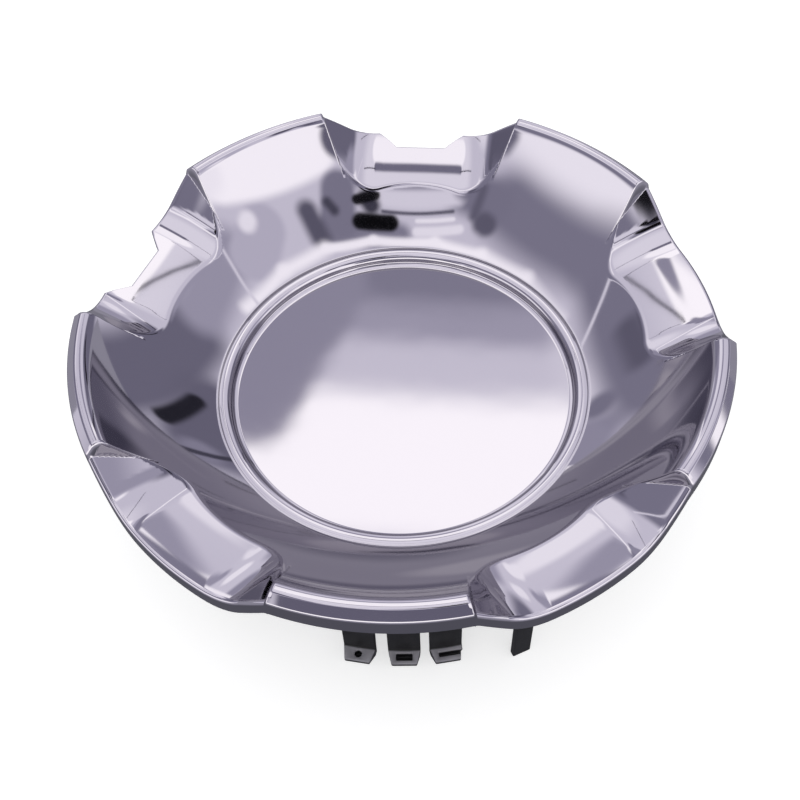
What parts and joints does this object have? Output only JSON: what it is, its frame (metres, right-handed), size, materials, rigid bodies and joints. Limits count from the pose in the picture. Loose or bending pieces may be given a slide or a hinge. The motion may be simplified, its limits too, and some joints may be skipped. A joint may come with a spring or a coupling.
{
  "type": "wheel centre cap",
  "caption": "Round wheel centre cap: a bright lobed cover with a dished middle, and a black ring of snap clips behind it.",
  "frame": {"origin": "on the wheel's axis, in the plane of the clip tips that the cap stands on", "axes": "+Z along the wheel's axis, out of the wheel towards the bright face; one lobe points along -Y and one recess along +Y"},
  "size_m": [0.19, 0.1889, 0.0663],
  "materials": {
    "bright_chrome": "mirror-bright chrome plating on moulded plastic",
    "black_moulding": "satin black moulded plastic"
  },
  "bodies": {
    "root": {"face_cover": "bright_chrome", "clip_ring": "black_moulding"}
  },
  "joints": []
}
